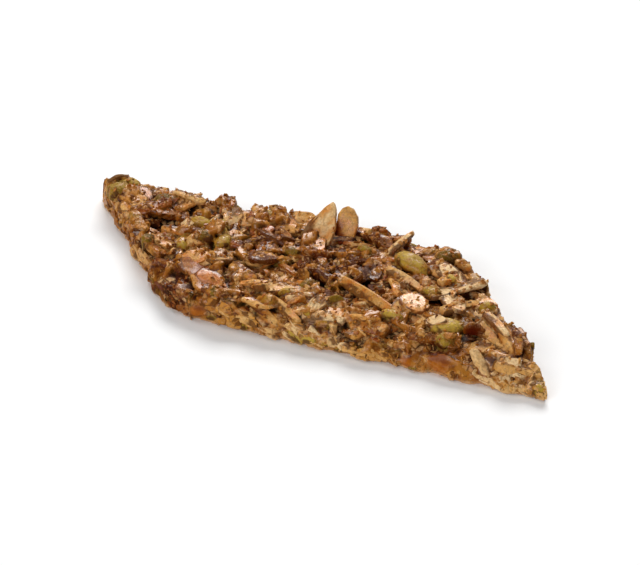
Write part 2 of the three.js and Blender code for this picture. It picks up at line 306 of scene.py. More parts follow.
def takeShape(bm, skin):
    # vertices, triangles and a painted value per vertex, ready to be copied
    splitUp(bm)
    bmesh.ops.recalc_face_normals(bm, faces=bm.faces)
    bm.verts.ensure_lookup_table()
    points = np.array([vert.co[:] for vert in bm.verts])
    rings = [[vert.index for vert in face.verts] for face in bm.faces]
    faces = np.array(sorted(min(ring[n:] + ring[:n] for n in range(3)) for ring in rings))
    painted = np.array([skin(vert.co) for vert in bm.verts], float)
    bm.free()
    return points, faces, painted


def drawOut(bm, faces, by):
    grown = bmesh.ops.extrude_face_region(bm, geom=faces)["geom"]
    bmesh.ops.translate(bm, verts=[v for v in grown if isinstance(v, bmesh.types.BMVert)], vec=by)


def roundOff(bm, edges, offset, segments=1):
    bmesh.ops.bevel(
        bm, geom=edges, offset=offset, affect="EDGES", segments=segments, profile=0.5, material=-1
    )


def skinOnSide(width, side=1):
    # skin on the +Y side of a nut, or on the -Y side
    return lambda co: within(side * co.y / width * 5 - 1)


def cutAway(bm, point, normal):
    # takes off what lies beyond a plane and closes the broken face
    whole = bm.verts[:] + bm.edges[:] + bm.faces[:]
    cut = bmesh.ops.bisect_plane(bm, geom=whole, plane_co=point, plane_no=normal, clear_outer=True)
    edges = [e for e in cut["geom_cut"] if isinstance(e, bmesh.types.BMEdge)]
    bmesh.ops.edgeloop_fill(bm, edges=edges)


# "rough" gives runs of noise: how far it moves the surface, its wavelength and a shift of its seed
almondSlice = {
    "size": (13, 8, 1.7), "flatness": 0.3, "taper": 0.3, "mostBreaks": 3,
    "rough": [(0.35, 5, 0), (0.3, 2.3, 4), (0.14, 1.1, 0)],
}


def sliceShape(bm, seed, length, width, thick):
    bmesh.ops.create_icosphere(bm, subdivisions=3, radius=1)
    for vert in bm.verts:
        x, y, z = vert.co
        reach = max(1e-6, math.hypot(x, y))
        spread = reach ** 0.5 / reach
        vert.co = (
            0.5 * length * x * spread,
            0.5 * width * y * spread * (1 - almondSlice["taper"] * x * spread),
            0.5 * thick * math.copysign(abs(z) ** almondSlice["flatness"], z),
        )
    breaks = np.random.RandomState(20 + seed)
    for _ in range(seed % (almondSlice["mostBreaks"] + 1)):
        way = 2 * math.pi * breaks.rand()
        out = Vector((math.cos(way), math.sin(way), 0.5 * (breaks.rand() - 0.5)))
        across = length * abs(out.x) + width * abs(out.y)
        cutAway(bm, out * (0.12 + 0.14 * breaks.rand()) * across, out)
    return lambda co: min(1, math.hypot(co.x / length, co.y / width) * 2) ** 10


almondFlake = {
    "size": (13.5, 8, 1.4), "bevel": 0.28, "variants": 2, "rough": [(0.35, 4, 0)],
    "pointed": [
        (-0.5, -0.3), (-0.1, -0.38), (0.25, -0.28), (0.5, -0.08), (0.34, 0.22), (0.1, 0.56), (-0.2, 0.86),
        (-0.5, 1),
    ],
    "round": [
        (-0.5, -0.4), (-0.1, -0.5), (0.22, -0.44), (0.43, -0.24), (0.5, 0.02), (0.42, 0.28), (0.2, 0.46),
        (-0.5, 0.48),
    ],
}


def flakeShape(bm, seed, length, width, thick):
    # a broken slice that stands on its -X end, pointed or round at the other
    outline = almondFlake["round"] if seed else almondFlake["pointed"]
    ring = [bm.verts.new((length * x, width * y, -0.5 * thick)) for x, y in outline]
    drawOut(bm, [bm.faces.new(ring)], (0, 0, thick))
    roundOff(bm, bm.edges[:], almondFlake["bevel"], 2)
    splitUp(bm)
    long = [e for e in bm.edges if e.calc_length() > 2]
    bmesh.ops.subdivide_edges(bm, edges=long, cuts=2, use_grid_fill=True)
    return lambda co: 0.6 if co.y > 0.42 * width else 0


almondSliver = {"size": (14, 3.2, 2.6), "bevel": 0.45, "rough": [(0.5, 6, 0), (0.1, 1.5, 9)]}


def sliverShape(bm, seed, length, width, thick):
    bmesh.ops.create_cube(bm, size=1)
    lengthwise = [e for e in bm.edges if abs((e.verts[0].co - e.verts[1].co).x) > 0.5]
    bmesh.ops.subdivide_edges(bm, edges=lengthwise, cuts=4)
    for vert in bm.verts:
        x, y, z = vert.co
        slim = 1 - 0.35 * abs(2 * x) ** 3 - 0.12 * x
        flat = 1 - 0.45 * (seed % 2)  # every other one is a flat shard
        slant = 0.8 * y * math.copysign(1, x)
        vert.co = (length * x + slant, width * y * slim / flat, thick * z * slim * flat)
    roundOff(bm, bm.edges[:], almondSliver["bevel"])
    return skinOnSide(width, 1 if seed else -1)


pistachio = {"size": (9, 5.6, 4.8), "rough": [(0.45, 2.6, 0), (0.12, 0.9, 5)]}


def pistachioShape(bm, seed, length, width, thick):
    bmesh.ops.create_icosphere(bm, subdivisions=3, radius=0.5)
    for vert in bm.verts:
        x, y, z = vert.co
        crease = 1 - 0.16 * math.exp(-((y / 0.08) ** 2)) * (z > 0)
        vert.co = (length * x, width * y * (1 - 0.25 * x), thick * z * (1 - 0.2 * x) * crease)
    if seed % 3 == 1:
        cutAway(bm, (0, 0, 0.12 * thick), (0.15, -0.1, 1))
    if seed % 3 == 2:
        cutAway(bm, (0.12 * length, 0, 0), (1, 0.25, 0.3))
        cutAway(bm, (0, -0.2 * width, 0.1), (0.1, -1, 0.6))
    shift = Vector((seed, 0, 0))
    return lambda co: within(0.5 - 0.9 * co.z / thick + noise.noise(co / 2 + shift))


nutChip = {"size": (5, 4, 3.2), "bevel": 0.22, "mostReach": 0.55, "rough": [(0.2, 1.6, 0)]}


def breakLump(bm, size, corners, seed):
    # a lump with flat broken faces: the hull of a few points strewn over a ball
    draws = np.random.RandomState(seed)
    for direction in draws.normal(size=(corners, 3)):
        direction = direction / np.linalg.norm(direction) * (0.42 + 0.12 * draws.rand())
        bm.verts.new(direction * np.array(size))
    hull = bmesh.ops.convex_hull(bm, input=bm.verts)
    loose = [v for v in hull["geom_interior"] if isinstance(v, bmesh.types.BMVert)]
    bmesh.ops.delete(bm, geom=loose, context="VERTS")


def chipShape(bm, seed, *size):
    breakLump(bm, size, 8, 60 + seed)
    roundOff(bm, bm.edges[:], nutChip["bevel"])
    reach = Vector(size) * nutChip["mostReach"]
    for vert in bm.verts:  # the bevel runs out to a spike at the sharpest corners
        vert.co = [within(c, -most, most) for c, most in zip(vert.co, reach)]
    return lambda co: within(4 * (co.y / size[1] - 0.2))


brokenSlice = {"size": almondSlice["size"], "corners": 7, "bevel": 0.3, "rough": [(0.35, 3, 0)]}


def brokenSliceShape(bm, seed, length, width, thick):
    # a small broken piece of a slice: a few corners, two flat sides and softened edges
    draws = np.random.RandomState(120 + seed)
    bmesh.ops.create_circle(bm, cap_ends=True, segments=brokenSlice["corners"], radius=0.5)
    for vert in bm.verts:
        vert.co *= 0.75 + 0.35 * draws.rand()
        vert.co = (length * vert.co.x, width * vert.co.y, -0.5 * thick)
    drawOut(bm, bm.faces[:], (0, 0, thick))
    brims = [e for e in bm.edges if abs(e.verts[0].co.z - e.verts[1].co.z) < 0.5 * thick]
    roundOff(bm, brims, brokenSlice["bevel"])
    return lambda co: 1 if co.x > 0.3 * length else 0


stick = {"size": almondSliver["size"], "corners": 5, "rough": [(0.5, 4, 0)]}


def stickShape(bm, seed, length, width, thick):
    bmesh.ops.create_circle(bm, cap_ends=True, segments=stick["corners"], radius=0.5)
    bmesh.ops.rotate(bm, verts=bm.verts, matrix=Matrix.Rotation(math.pi / 2, 3, "Y"))
    bmesh.ops.translate(bm, verts=bm.verts, vec=(-0.5, 0, 0))
    for _ in range(3):
        tip = max(bm.faces, key=lambda face: face.calc_center_median().x)
        drawOut(bm, [tip], (1 / 3, 0, 0))
        bmesh.ops.delete(bm, geom=[tip], context="FACES_ONLY")
    for vert in bm.verts:
        slim = 1.1 - 0.5 * abs(2 * vert.co.x) ** 3
        vert.co = (length * vert.co.x, width * vert.co.y * slim, thick * vert.co.z * slim)
    return skinOnSide(width)


pistachioBit = {"size": pistachio["size"], "rough": [(0.6, 2.6, 0)]}


def pistachioBitShape(bm, seed, length, width, thick):
    bmesh.ops.create_icosphere(bm, subdivisions=2, radius=0.5)
    bmesh.ops.scale(bm, verts=bm.verts, vec=(length, width, thick))
    if seed % 2:
        cutAway(bm, (0.1 * length, 0, 0), (1, 0.4, 0.3))
    return lambda co: within(0.4 - 0.9 * co.z / thick + noise.noise(co / 2))


crumb = {"size": (2, 1.6, 1.3), "rough": []}


def crumbShape(bm, seed, *size):
    breakLump(bm, size, 9, 90 + seed)
    return lambda co: 0


makers = {
    "slice": (sliceShape, almondSlice), "flake": (flakeShape, almondFlake),
    "sliver": (sliverShape, almondSliver), "pistachio": (pistachioShape, pistachio),
    "chip": (chipShape, nutChip), "lump": (chipShape, nutChip),
    "brokenSlice": (brokenSliceShape, brokenSlice), "stick": (stickShape, stick),
    "pistachioBit": (pistachioBitShape, pistachioBit), "crumb": (crumbShape, crumb),
}
variants = 7  # shapes of each kind, apart from the two flakes


def shapesOf(make, made):
    # each maker fills an empty mesh and hands back the rule by which its skin is painted
    for seed in range(made.get("variants", variants)):
        bm = bmesh.new()
        skin = make(bm, seed, *made["size"])
        for amount, wavelength, shift in made["rough"]:
            roughen(bm, amount, wavelength, seed + shift)
        yield takeShape(bm, skin)


shapes = {kind: list(shapesOf(*maker)) for kind, maker in makers.items()}
usualSize = {kind: made["size"] for kind, (_, made) in makers.items()}
print("shapes:", {kind: len(found[0][1]) for kind, found in shapes.items()})


# laying the nuts on the slab, cutting them off at its edge and joining them

cutSteps = (112, 48)
cutPlaces, cutPoints, cutOutward = cutOutline(*cutSteps)
cutHeights = caramelTop(cutPlaces[:, 0], cutPlaces[:, 1])
cutMargin = slab["trimMargin"] * (0.55 + 0.45 * ripple(np.arange(len(cutPoints)) * 0.75, 0, 8, 1.9))
cutLine = cutPoints + cutMargin[:, None] * cutOutward
toOrigin = np.array([*slab["toOrigin"], 0])


chanceSteps = 997  # a nut's chance, from 0 to 1, as a number that picks its shape


def insideOutline(points, outline):
    x, y = points[:, :1], points[:, 1:2]
    ax, ay = outline[None, :, 0], outline[None, :, 1]
    bx, by = np.roll(ax, -1, 1), np.roll(ay, -1, 1)
    crosses = (ay > y) != (by > y)
    with np.errstate(divide="ignore", invalid="ignore"):
        atX = ax + (y - ay) / (by - ay) * (bx - ax)
    return (crosses & (x < atX)).sum(1) % 2 == 1


def nearestOn(points, outline):
    start, end = outline, np.roll(outline, -1, 0)
    side = end - start
    share = ((points[:, None] - start) * side).sum(2) / (side ** 2).sum(1)
    nearest = start + np.clip(share, 0, 1)[..., None] * side
    apart = ((points[:, None] - nearest) ** 2).sum(2)
    best = apart.argmin(1)
    return nearest[np.arange(len(points)), best], best


def trimToSlab(points):
    # what stands out past the knife's cut is flattened onto it, and nothing goes below the table
    outside = ~insideOutline(points[:, :2], cutLine)
    if outside.any():
        points[outside, :2], nearest = nearestOn(points[outside, :2], cutLine)
        points[outside, 2] = np.minimum(points[outside, 2], cutHeights[nearest] + slab["cutRise"])
    points[:, 2] = np.maximum(points[:, 2], slab["tableGap"])
    return points


def nutPlacing(nut):
    if "basis" in nut:
        return np.array(nut["basis"])
    return np.array(Euler([math.radians(nut[way]) for way in ("roll", "pitch", "turn")], "XYZ").to_matrix())


def shapeOf(nut):
    found = shapes[nut["kind"]]
    return found[nut.get("variant", int(nut["chance"] * chanceSteps)) % len(found)]


def layNut(nut, grow=0.0):
    # a nut's points on the slab; grow makes it fatter or thinner all over, in millimetres
    points, faces, painted = shapeOf(nut)
    size = np.array([nut["length"], nut["width"], nut["thick"]])
    scaled = points * ((size + 2 * grow) / np.array(usualSize[nut["kind"]]))
    placed = scaled @ nutPlacing(nut).T + np.array([nut["x"], nut["y"], nut["z"]])
    return trimToSlab(placed), faces, painted


def joinNuts(nuts, grow=0.0):
    # all the nuts as one set of points and triangles, with the values painted on each point
    gathered, count = [], 0
    for nut in nuts:
        points, faces, skin = layNut(nut, grow if not nut.get("coated") else 0)
        each = np.ones(len(points))
        gathered.append((points, faces + count, skin, nut["dark"] * each, nut.get("gloss", 0) * each))
        count += len(points)
    points, faces, *painted = [np.concatenate(column) for column in zip(*gathered)]
    return points, faces, dict(zip(("skin", "tone", "gloss"), painted))


def paintPoints(mesh, values):
    for label, numbers in values.items():
        layer = mesh.attributes.new(label, "FLOAT", "POINT")
        layer.data.foreach_set("value", np.asarray(numbers, np.float32))


def putIn(name, data):
    # a new object in the scene
    made = bpy.data.objects.new(name, data)
    bpy.context.scene.collection.objects.link(made)
    return made


def makeMesh(name, points, faces, values=None):
    mesh = bpy.data.meshes.new(name)
    mesh.from_pydata(((points + toOrigin) * mm).tolist(), [], faces.tolist())
    paintPoints(mesh, values or {})
    mesh.validate()
    return putIn(name, mesh)


def slabCore():
    # the caramel without its nuts: a grid bent to the diamond, its rim drawn down to the table
    bm = bmesh.new()
    bmesh.ops.create_grid(bm, x_segments=130, y_segments=64, size=1)
    for vert in bm.verts:
        u, v = vert.co.x, vert.co.y
        x, y = slabPoint(u, v)
        vert.co = (x, y, caramelTop(u, v) + 0.2 * ripple(x, y, 3.1, 0.7))
    rim = [e for e in bm.edges if e.is_boundary]
    above = 1
    for level, bulge in ((0.8, -0.35), (0.55, -0.25), (0.28, 0.15), (0, 0.1)):
        drawn = bmesh.ops.extrude_edge_only(bm, edges=rim)["geom"]
        rim = [e for e in drawn if isinstance(e, bmesh.types.BMEdge) and e.is_boundary]
        for vert in {v for e in rim for v in e.verts}:
            near = ((cutPoints - np.array(vert.co[:2])) ** 2).sum(1).argmin()
            crag = 0.5 * noise.noise(Vector((vert.co.x / 2, vert.co.y / 2, 3 * level)))
            vert.co.x += (bulge + crag) * cutOutward[near][0]
            vert.co.y += (bulge + crag) * cutOutward[near][1]
            vert.co.z *= level / above
        above = level
    bmesh.ops.holes_fill(bm, edges=rim)
    return takeShape(bm, lambda co: 0)


# the second layer: the finer nuts that lie on and between the first

fillers = {
    "brokenSlice": dict(count=170, length=(3.5, 10), width=(3, 7), thick=(1.1, 1.9), tilt=16, overhang=1.6),
    "stick": dict(count=90, length=(5, 12), width=(1.6, 2.8), thick=(1.2, 2), tilt=12, overhang=1.3),
    "pistachioBit": dict(count=50, length=(3, 7), width=(2.6, 4.6), thick=(2.2, 3.6), tilt=25, overhang=2),
    "chip": dict(count=450, length=(2, 5.2), width=(1.6, 4), thick=(1.2, 2.8), tilt=40, overhang=2),
}
overAll = 40  # a height above every nut
stickTurn = (-15, 140)  # which way sticks mostly lie, and how far they may be turned from it
fillerLean = 0.6  # how closely a nut follows the slope that it lies on
fillerSunk = 0.3  # share of the thickness that is sunk in what lies below
coatedShare = 0.5  # of the second layer and the crumbs: these lie wholly under the caramel
fillCeiling = 9.4  # nothing more is laid on what already stands this high
keptClear = 0.6  # and nothing within this distance of a nut that stands out
usualTop, featureLess = 8, 2.2  # nuts that only show may be overlapped by this much
flatNut = {"thick": 3.5, "pitch": 25}  # thicker or flatter than this, a nut is kept clear along its length
clearCaramel = [
    (45.5, -26.5, 3.6, 3.5), (-25, -27, 3, 2.6), (-47, 8.5, 4, 4), (36, -27, 2, 2.2), (64.8, -13.2, 5, 2.8),
]  # x, y, z and radius of places with no nuts, where the caramel is clear
rimFill = dict(
    count=560, inset=2.2, length=(2.4, 7.5), width=(1.6, 4.4), thick=(1.3, 2.8), low=0.7, above=0.9,
    kinds=("stick", *["chip"] * 3, "pistachioBit", *["chip"] * 2, *["brokenSlice"] * 3),
)
crumbs = dict(onTop=1900, onCuts=700, length=(0.9, 2.4), slim=(0.6, 0.9), ceiling=12)


# nuts that show where they lie: kind, x, y, length, width, thickness, turn, tip, how dark, how glossy
features = [
    ("slice", 8.5, 25, 13, 6, 1.8, -20, -14, 0.1, 0), ("sliver", 10.5, 22, 11, 3.2, 2, -28, 0, 1.0, 0),
    ("slice", 25, 21.5, 9.7, 6, 1.6, -26, 2, 0.5, 1), ("slice", 36.4, 11, 12, 5, 1.8, -41, 6, 0.3, 0),
    ("slice", 50.3, 2.5, 9, 5, 1.6, -32, 0, 0.7, 1), ("slice", 32, -8.2, 10.4, 7.4, 1.6, -31, 3, 0.35, 1),
    ("slice", 13.5, -17, 14, 6, 1.6, -8, 2, 0.1, 0.6), ("sliver", 65, -12, 12, 2.6, 2, -55, 0, 0.7, 0.3),
    ("sliver", 61.5, -9.5, 10, 2.2, 1.8, -58, 0, 0.95, 0.5),
    ("slice", 40.5, -14.5, 7, 4.4, 1.8, -20, 12, 0.1, 0),
    ("slice", -50, 13.5, 13, 6.4, 2, 4, -10, 0.55, 0.2),
    ("sliver", -46.2, 21.8, 12, 2.8, 2.2, -20, 4, 0.2, 0),
    ("pistachio", -31.5, 8, 6.4, 4.6, 3.4, -33, 0, 0.0, 0), ("chip", -40.5, 5.5, 5.6, 4.4, 3, 12, 0, 0.0, 0),
    ("chip", -36, 15.5, 5, 4, 3, 60, 0, 0.15, 0), ("slice", -28, 18.5, 9, 6, 2, -25, 14, 0.3, 0),
    ("chip", -22.4, 20.5, 6.4, 5, 3.4, -32, 0, 0.8, 0), ("slice", -20.5, 13, 7.6, 6, 1.6, 14, 2, 0.45, 1),
    ("slice", -15, -2, 9, 5.4, 1.6, 6, -12, 0.95, 0.3), ("slice", -13, 5, 8, 5, 1.6, 40, 10, 0.9, 0.2),
    ("chip", -0.5, -9.5, 5, 3.6, 2.6, -6, 0, 0.25, 0.4),
    ("slice", -24, -18.5, 13, 6.6, 1.6, -28, 8, 0.3, 0.8),
    ("slice", -7, -14, 17, 7, 1.8, 0, -8, 0.25, 0), ("slice", -46, -3, 12, 6.4, 1.8, -14, -8, 0.15, 0),
    ("slice", 13, 4, 8, 5.4, 1.6, 65, 16, 1.0, 0.2), ("chip", 8, 8.5, 6, 5, 3, 20, 0, 0.9, 0.2),
    ("slice", -60, 14, 10, 6, 1.8, 60, 6, 0.1, 0), ("slice", 42, -3, 11, 6, 1.6, -50, -6, 0.3, 0),
    ("slice", -3, 12, 12, 6.5, 1.6, -60, 6, 0.2, 0.5), ("slice", -16, 20, 10, 6, 1.6, -8, 12, 0.3, 0),
    ("sliver", 56, -10, 12, 3, 2, -42, 0, 0.3, 0.3), ("sliver", 60.5, -14.5, 11, 2.6, 2, -48, 0, 0.5, 0.4),
    ("sliver", 3, 3, 12, 3, 2, -30, 0, 0.35, 0.2), ("slice", -33, -8, 10, 7, 1.6, 20, 4, 0.25, 0.3),
]


def surfaceOf(parts):
    points, faces, count = [], [], 0
    for part in parts:
        points.append(part[0])
        faces.append(part[1] + count)
        count += len(part[0])
    return BVHTree.FromPolygons(np.concatenate(points).tolist(), np.concatenate(faces).tolist())


def topAt(surface, x, y):
    # where a line straight down meets a surface, and which way it faces there
    return surface.ray_cast(Vector((x, y, overAll)), Vector((0, 0, -1)))[:2]


def lyingOn(normal, spin, tilt, lean):
    # a turn that lays a nut on a surface: mostly along its normal, spun, then tipped a little
    up = (Vector(normal) * lean + Vector((0, 0, 1)) * (1 - lean)).normalized()
    flat = Vector((0, 0, 1)).rotation_difference(up).to_matrix()
    return flat @ Matrix.Rotation(spin, 3, "Z") @ Matrix.Rotation(tilt, 3, "X")


def evenlySpread(count, start):
    # points of the unit square that keep their distance from each other
    steps = np.arange(count) + start
    return np.stack([(0.7548777 * steps) % 1, (0.5698403 * steps) % 1], 1)


def featureNuts(surface):
    # each rests on what lies under its middle and its two ends
    for n, (kind, x, y, length, width, thick, turn, tip, dark, gloss) in enumerate(features):
        along = np.array(heading(turn)) * length * 0.3
        tops = [topAt(surface, x + t * along[0], y + t * along[1])[0] for t in (-1, 0, 1)]
        z = float(np.mean([top.z for top in tops if top])) + 0.25 * thick
        slope = 0
        if all(tops):
            slope = 0.5 * math.degrees(math.atan2(tops[0].z - tops[-1].z, 2 * np.hypot(*along)))
        yield nutOf(
            kind, (x, y, z), (length, width, thick), (turn, slope, tip), dark,
            gloss=gloss, variant=(0, 2, 4)[n % 3],
        )


def isInClear(place, share):
    return any(math.dist(place, c[:3]) < share * c[3] for c in clearCaramel)


def isKeptClear(x, y, z, reach):
    # whether a place lies by a nut that stands out, on one that shows, in a hollow or in clear caramel
    shown = [(s, 0) for s in standouts]
    shown += [((*f[:3], usualTop, *f[3:7], 0), featureLess) for f in features]
    for (_, sx, sy, sz, length, width, thick, turn, pitch, *_), less in shown:
        if thick > flatNut["thick"] or abs(pitch) < flatNut["pitch"]:
            along = Vector(heading(turn))
            apart = Vector((x - sx, y - sy))
            lengthwise = max(0, abs(apart.dot(along)) - length / 2 + width / 2)
            if math.hypot(lengthwise, apart.cross(along)) < width / 2 + reach - less and z > sz - 2:
                return True
        elif math.hypot(x - sx, y - sy) < 3.6 + reach or math.hypot(x - sx + 3.5, y - sy + 1) < 3.2 + reach:
            return True
    return isInHollow(x, y, 0.8) or isInClear((x, y, z), 0.9)


def gapUnder(surface, point):
    # how far a point hangs over what lies below it
    below = topAt(surface, point.x, point.y)[0]
    return point.z - below.z if below else overAll


def fillNuts(surface, draws):
    for order, (kind, k) in enumerate(fillers.items()):
        for s, t in evenlySpread(k["count"], 1000 * order):
            u, v = 2 * s - 1, 2 * t - 1
            draw = draws.rand(6)
            if fromRim(u, v) < 1:
                continue
            x, y = plainPoint(u, v)
            place, normal = topAt(surface, x, y)
            if place is None or place.z > fillCeiling or isKeptClear(x, y, place.z, keptClear):
                continue
            size = sizeFrom(k, draw[:3])
            spin = 2 * math.pi * draw[3]
            if kind == "stick":
                spin = math.radians(stickTurn[0] + stickTurn[1] * (draw[3] - 0.5))
            basis = lyingOn(normal, spin, math.radians(k["tilt"] * 2 * (draw[4] - 0.5)), fillerLean)
            reach = basis.col[0] * (0.4 * size[0])
            if any(gapUnder(surface, place + way * reach) > k["overhang"] for way in (-1, 1)):
                continue
            yield nutOf(
                kind, (x, y, place.z + (0.5 - fillerSunk) * size[2]), size, dark=draw[5], basis=basis,
                coated=(7 * draw[5]) % 1 < coatedShare, chance=chanceOf(draw[5]),
            )


def fillRim(draws):
    for n in range(rimFill["count"]):
        draw = draws.rand(9)
        i = int((n + draw[0]) / rimFill["count"] * len(cutPoints)) % len(cutPoints)
        place = cutPoints[i] - rimFill["inset"] * draw[1] * cutOutward[i]
        size = sizeFrom(rimFill, (draw[4], draw[5], draw[5]))
        height = between((rimFill["low"], cutHeights[i] + rimFill["above"]), draw[3])
        height = max(0.42 * size[1], height)  # none is sunk in the table
        if isKeptClear(*place, height, 0):
            continue
        kind = rimFill["kinds"][int(len(rimFill["kinds"]) * draw[2])]
        facingOut = draw[2] > 0.6  # these show their broad side in the cut, the others their ends
        tips = (
            cutTurn(cutOutward[i]) + (30 if facingOut else 90) * (draw[6] - 0.5),
            60 * (draw[7] - 0.5),
            80 + 30 * (draw[1] - 0.5) if facingOut else 180 * (draw[1] - 0.5),
        )
        yield nutOf(kind, (*place, height), size, tips, 0.9 * draw[8], chance=chanceOf(draw[8]))


def strewCrumbs(surface, draws):
    total = crumbs["onTop"] + crumbs["onCuts"]
    for n, (s, t) in enumerate(evenlySpread(total, 5000)):
        draw = draws.rand(6)
        if n < crumbs["onTop"]:
            place, normal = topAt(surface, *plainPoint(2 * s - 1, 2 * t - 1))
        else:
            i = int(s * len(cutLine))
            out = Vector((*cutOutward[i], 0))
            start = Vector((*cutLine[i], 0.5 + (cutHeights[i] + 1) * t)) + 4 * out
            place, normal = surface.ray_cast(start, -out)[:2]
        if place is None or place.z > crumbs["ceiling"] or isKeptClear(*place, -0.8):
            continue
        length = between(crumbs["length"], draw[0] ** 2)
        size = (length, *(length * between(crumbs["slim"], share) for share in draw[1:3]))
        yield nutOf(
            "crumb", place, size, dark=draw[5], coated=draw[5] < coatedShare, chance=chanceOf(draw[5]),
            basis=lyingOn(normal, 2 * math.pi * draw[3], math.pi * draw[4], 1),
        )


# zones of painted shade and painted light laid over the nuts and the caramel
shade = [
    (12, 3, 9, 0.5), (-18, 8, 12, 0.35), (65, -21, 11, -0.6), (43, 3, 14, -0.8), (-36, 12, 9, -0.1),
    (-38, -25, 13, 1.05), (8, -26, 12, -0.7), (4, 12, 8, 0.3), (-52, 6, 9, 0.5), (-66, 18, 8, 0.3),
    (2, -3.5, 4.5, 0.8), (32, -27, 9, 0.1), (64.5, -11, 5, 0.8), (45, -22, 6, 0.3),
]  # x, y, spread, how much darker, below 0 paler: painted shade and painted light copying light and shadow on parts of the piece, partly also darker nuts
dryPlaces = [(67, -22, 8, 1.0), (55, -24.5, 5, 0.6)]  # x, y, spread, and how near in look to the cut faces


def numbered(nuts):
    # gives each nut its own chance, spread evenly by golden steps
    for index, nut in enumerate(nuts):
        nut["chance"] = (index * 0.618034) % 1
    return nuts


def chanceOf(draw):
    # a second chance out of a draw that is used already
    return 13 * draw % 1


mapHalf = (80, 32)


def heightMap(surface):
    # the height of the top on a grid of 1 mm, evened out over a few millimetres
    xs, ys = (np.arange(-half, half + 1) for half in mapHalf)
    tops = np.zeros((len(xs), len(ys)))
    for i, x in enumerate(xs):
        for j, y in enumerate(ys):
            place = topAt(surface, x, y)[0]
            tops[i, j] = place.z if place else 0
    weight = (tops > 2).astype(float)
    total = tops * weight
    for _ in range(5):
        for axis in (0, 1):
            total = (np.roll(total, 1, axis) + total + np.roll(total, -1, axis)) / 3
            weight = (np.roll(weight, 1, axis) + weight + np.roll(weight, -1, axis)) / 3
    return total / np.maximum(weight, 1e-6)


sunken = {"from": 0.2, "over": 1.35, "shade": 0.9}  # millimetres below the nuts nearby, and share of the painted shade zones


def sunkenShare(points, cut):
    # 0 at the usual height of the nuts nearby, 1 well below it and in the dark zones; it darkens the colour,
    # partly for caramel pooled low down, partly as painted shade in the gaps and the zones
    i, j = (np.clip(np.round(points[:, n]).astype(int) + mapHalf[n], 0, 2 * mapHalf[n]) for n in (0, 1))
    below = (evenTops[i, j] - sunken["from"] - points[:, 2]) / sunken["over"]
    dark = sunken["shade"] * heaps(points[:, 0], points[:, 1], shade)
    return np.clip(below + dark, 0, 1) * (1 - cut) + np.clip(dark, 0, 1) * cut


draws = np.random.RandomState(7)
core = slabCore()
nuts = numbered(firstLayer())
print("first layer:", len(nuts), "nuts")
nuts = numbered([*nuts, *featureNuts(surfaceOf([core, joinNuts(nuts)]))])
firstSurface = surfaceOf([core, joinNuts(nuts)])
nuts += [*fillNuts(firstSurface, draws), *fillRim(draws)]
for nut in nuts:
    # painted shade and light: the nuts in the zones are made darker or paler
    nut["dark"] += heaps(nut["x"], nut["y"], shade)
    if isInClear((nut["x"], nut["y"], nut["z"]), 1):
        nut["coated"] = True
print("with the second layer:", len(nuts), "nuts")
nutSurface = surfaceOf([core, joinNuts(nuts)])
evenTops = heightMap(nutSurface)
specks = list(strewCrumbs(nutSurface, draws))
print("crumbs:", len(specks))


class Wire:
    # one output of a shader node; arithmetic on it adds Math nodes
    def __init__(self, finish, socket):
        self.finish, self.socket = finish, socket

    def maths(self, operation, first, second):
        return self.finish.node("Math", {"operation": operation}, {0: first, 1: second})

    def __add__(self, other):
        return self.maths("ADD", self, other)

    def __sub__(self, other):
        return self.maths("SUBTRACT", self, other)

    def __rsub__(self, other):
        return self.maths("SUBTRACT", other, self)

    def __mul__(self, other):
        return self.maths("MULTIPLY", self, other)

    __radd__ = __add__
    __rmul__ = __mul__


